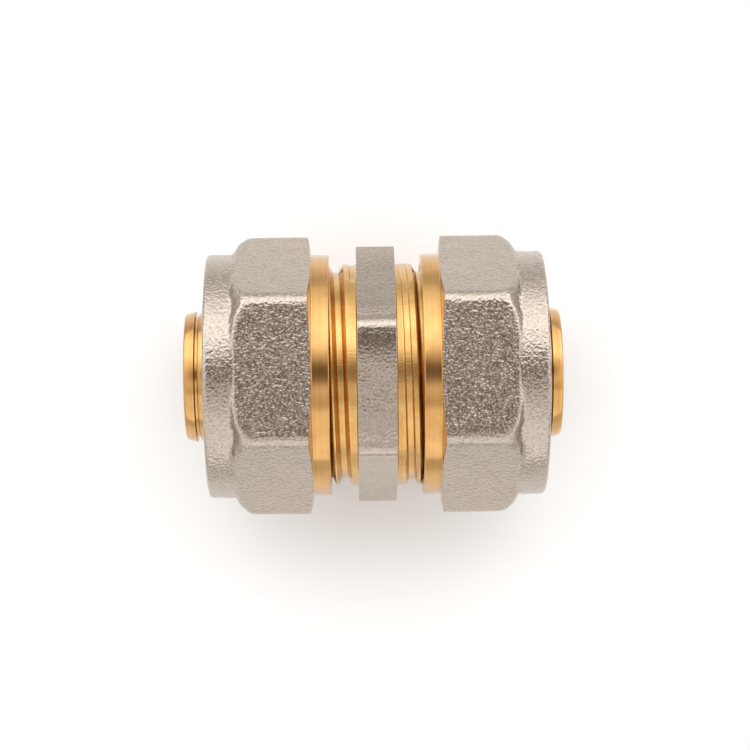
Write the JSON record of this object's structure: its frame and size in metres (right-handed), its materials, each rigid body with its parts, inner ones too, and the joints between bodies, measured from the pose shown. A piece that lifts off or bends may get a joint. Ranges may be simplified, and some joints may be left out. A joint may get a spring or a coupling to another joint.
{
  "type": "compression pipe coupling",
  "caption": "Straight compression coupling for multilayer pipe: hexagonal body with threaded ends, hexagonal nuts with turned bands, split gripping rings and barbed nozzles with seals.",
  "frame": {"origin": "on the bore's axis, at the middle of the coupling's overall length as it stands", "axes": "+X along the bore towards the right nut, +Z square to the upper flats of the nuts, +Y across the coupling"},
  "size_m": [0.055, 0.041, 0.036],
  "materials": {
    "nickel_plated_brass": "forged, shot-blasted and nickel plated, with threads and bands machined back to bare brass",
    "turned_brass": "bright turned brass",
    "epdm_rubber": "black moulded rubber",
    "white_nylon": "white nylon"
  },
  "bodies": {
    "coupling_body": {"coupling_body": "nickel_plated_brass"},
    "left_split_ring": {"left_split_ring": "turned_brass"},
    "left_nut": {"left_nut": "nickel_plated_brass"},
    "left_insert": {"left_insert": "turned_brass", "left_insulating_washer": "white_nylon", "left_nozzle_o_ring_outer": "epdm_rubber", "left_nozzle_o_ring_inner": "epdm_rubber", "left_insert_seal_o_ring": "epdm_rubber"},
    "right_split_ring": {"right_split_ring": "turned_brass"},
    "right_nut": {"right_nut": "nickel_plated_brass"},
    "right_insert": {"right_insert": "turned_brass", "right_insulating_washer": "white_nylon", "right_nozzle_o_ring_outer": "epdm_rubber", "right_nozzle_o_ring_inner": "epdm_rubber", "right_insert_seal_o_ring": "epdm_rubber"}
  },
  "joints": [
    {"name": "left_ring_travel", "type": "slide", "parent": "coupling_body", "child": "left_split_ring", "axis": [-1, 0, 0], "range_m": [-0.0008, 0.007]},
    {"name": "left_nut_turn", "type": "hinge", "parent": "left_split_ring", "child": "left_nut", "pos_m": [-0.00645, 0, 0], "axis": [-1, 0, 0], "range_deg": [-120, 1080]},
    {"name": "left_insert_float", "type": "slide", "parent": "coupling_body", "child": "left_insert", "axis": [-1, 0, 0], "range_m": [-0.001, 0]},
    {"name": "right_ring_travel", "type": "slide", "parent": "coupling_body", "child": "right_split_ring", "axis": [1, 0, 0], "range_m": [-0.0008, 0.007]},
    {"name": "right_nut_turn", "type": "hinge", "parent": "right_split_ring", "child": "right_nut", "pos_m": [0.00725, 0, 0], "axis": [1, 0, 0], "range_deg": [-120, 1080]},
    {"name": "right_insert_float", "type": "slide", "parent": "coupling_body", "child": "right_insert", "axis": [1, 0, 0], "range_m": [0, 0.001]}
  ],
  "couplings": [
    {"joint": "left_ring_travel", "follows": "left_nut_turn", "m_per_rad": 0.00036749},
    {"joint": "right_ring_travel", "follows": "right_nut_turn", "m_per_rad": 0.00036749}
  ]
}
